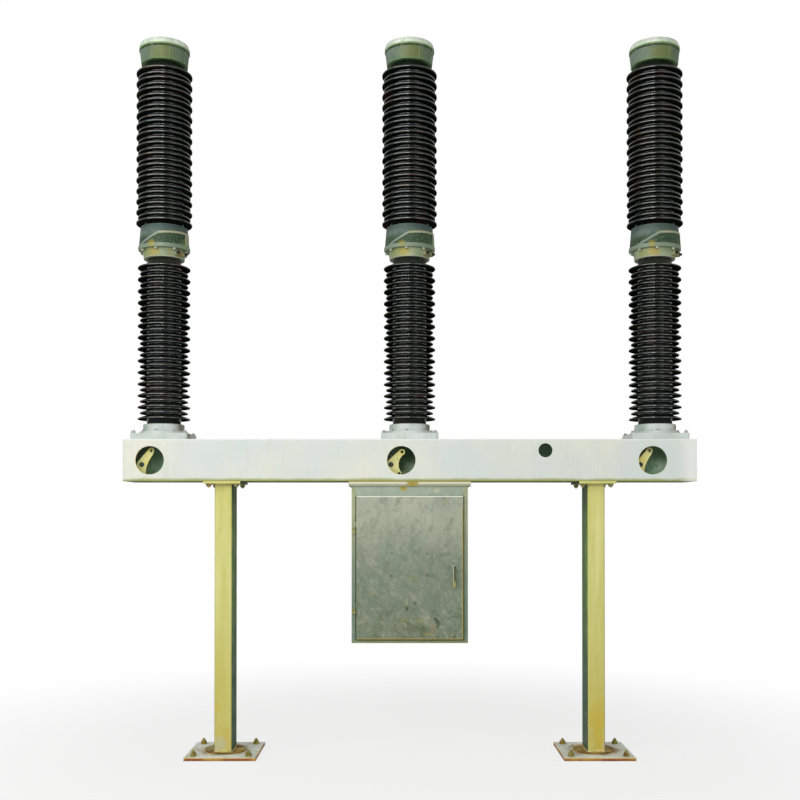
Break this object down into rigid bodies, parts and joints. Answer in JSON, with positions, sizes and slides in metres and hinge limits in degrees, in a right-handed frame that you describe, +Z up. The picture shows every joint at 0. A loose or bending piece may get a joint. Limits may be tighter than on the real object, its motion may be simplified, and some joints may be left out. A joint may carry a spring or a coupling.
{
  "type": "three-pole live-tank gas insulated circuit breaker",
  "caption": "Three upright shed-insulator poles on a box beam with two legs; a mechanism cabinet with a hinged door hangs under the beam.",
  "frame": {"origin": "on the ground midway between the two feet, under the middle pole", "axes": "+Z up, +X along the beam to the right seen from the cabinet door, +Y from the door side to the back"},
  "size_m": [3.88, 0.5, 4.89],
  "materials": {
    "beam_paint": "weathered pale grey paint",
    "leg_paint": "weathered khaki yellow paint",
    "foot_steel": "weathered paint with rust at its edges",
    "flange_alloy": "cast, matt, weathered",
    "porcelain": "dark brown glaze, glossy",
    "housing_alloy": "cast, weathered grey",
    "crank_zinc": "yellow zinc plating",
    "bracket_steel": "grey paint",
    "cabinet_steel": "mottled grey green sheet",
    "hinge_steel": "zinc plated"
  },
  "bodies": {
    "frame": {"beam_top_plate": "beam_paint", "beam_front_plate": "beam_paint", "beam_back_plate": "beam_paint", "beam_bottom_lips": "beam_paint", "beam_bottom_closers": "beam_paint", "beam_end_plates": "beam_paint", "leg_tube_left": "leg_paint", "leg_tube_right": "leg_paint", "leg_top_plate_left": "leg_paint", "leg_top_plate_right": "leg_paint", "foot_plate_left": "foot_steel", "foot_plate_right": "foot_steel", "foot_discs": "foot_steel", "pole_base_plate_left": "flange_alloy", "pole_bottom_flange_left": "flange_alloy", "lower_insulator_left": "porcelain", "upper_insulator_left": "porcelain", "neck_flange_left": "housing_alloy", "interrupter_housing_left": "housing_alloy", "top_cap_left": "housing_alloy", "crank_bracket_left": "bracket_steel", "pole_base_plate_middle": "flange_alloy", "pole_bottom_flange_middle": "flange_alloy", "lower_insulator_middle": "porcelain", "upper_insulator_middle": "porcelain", "neck_flange_middle": "housing_alloy", "interrupter_housing_middle": "housing_alloy", "top_cap_middle": "housing_alloy", "crank_bracket_middle": "bracket_steel", "pole_base_plate_right": "flange_alloy", "pole_bottom_flange_right": "flange_alloy", "lower_insulator_right": "porcelain", "upper_insulator_right": "porcelain", "neck_flange_right": "housing_alloy", "interrupter_housing_right": "housing_alloy", "top_cap_right": "housing_alloy", "crank_bracket_right": "bracket_steel", "cabinet_shell": "cabinet_steel", "cabinet_hood": "cabinet_steel", "door_hinges": "hinge_steel"},
    "door": {"cabinet_door": "cabinet_steel"},
    "handle": {"door_handle": "hinge_steel"},
    "crank_left": {"crank_lever_left": "crank_zinc"},
    "crank_middle": {"crank_lever_middle": "crank_zinc"},
    "crank_right": {"crank_lever_right": "crank_zinc"}
  },
  "joints": [
    {"name": "door_swing", "type": "hinge", "parent": "frame", "child": "door", "pos_m": [-0.373, -0.181, 1.286], "axis": [0, 0, -1], "range_deg": [0, 115]},
    {"name": "handle_turn", "type": "hinge", "parent": "door", "child": "handle", "pos_m": [0.299, -0.19, 1.294], "axis": [0, 1, 0], "range_deg": [0, 90]},
    {"name": "crank_middle_turn", "type": "hinge", "parent": "frame", "child": "crank_middle", "pos_m": [-0.127, -0.099, 1.985], "axis": [0, 1, 0], "range_deg": [0, 50]},
    {"name": "crank_left_turn", "type": "hinge", "parent": "frame", "child": "crank_left", "pos_m": [-1.827, -0.099, 1.985], "axis": [0, 1, 0], "range_deg": [0, 50]},
    {"name": "crank_right_turn", "type": "hinge", "parent": "frame", "child": "crank_right", "pos_m": [1.573, -0.099, 1.985], "axis": [0, 1, 0], "range_deg": [0, 50]}
  ],
  "couplings": [
    {"joint": "crank_left_turn", "follows": "crank_middle_turn", "ratio": 1},
    {"joint": "crank_right_turn", "follows": "crank_middle_turn", "ratio": 1}
  ]
}
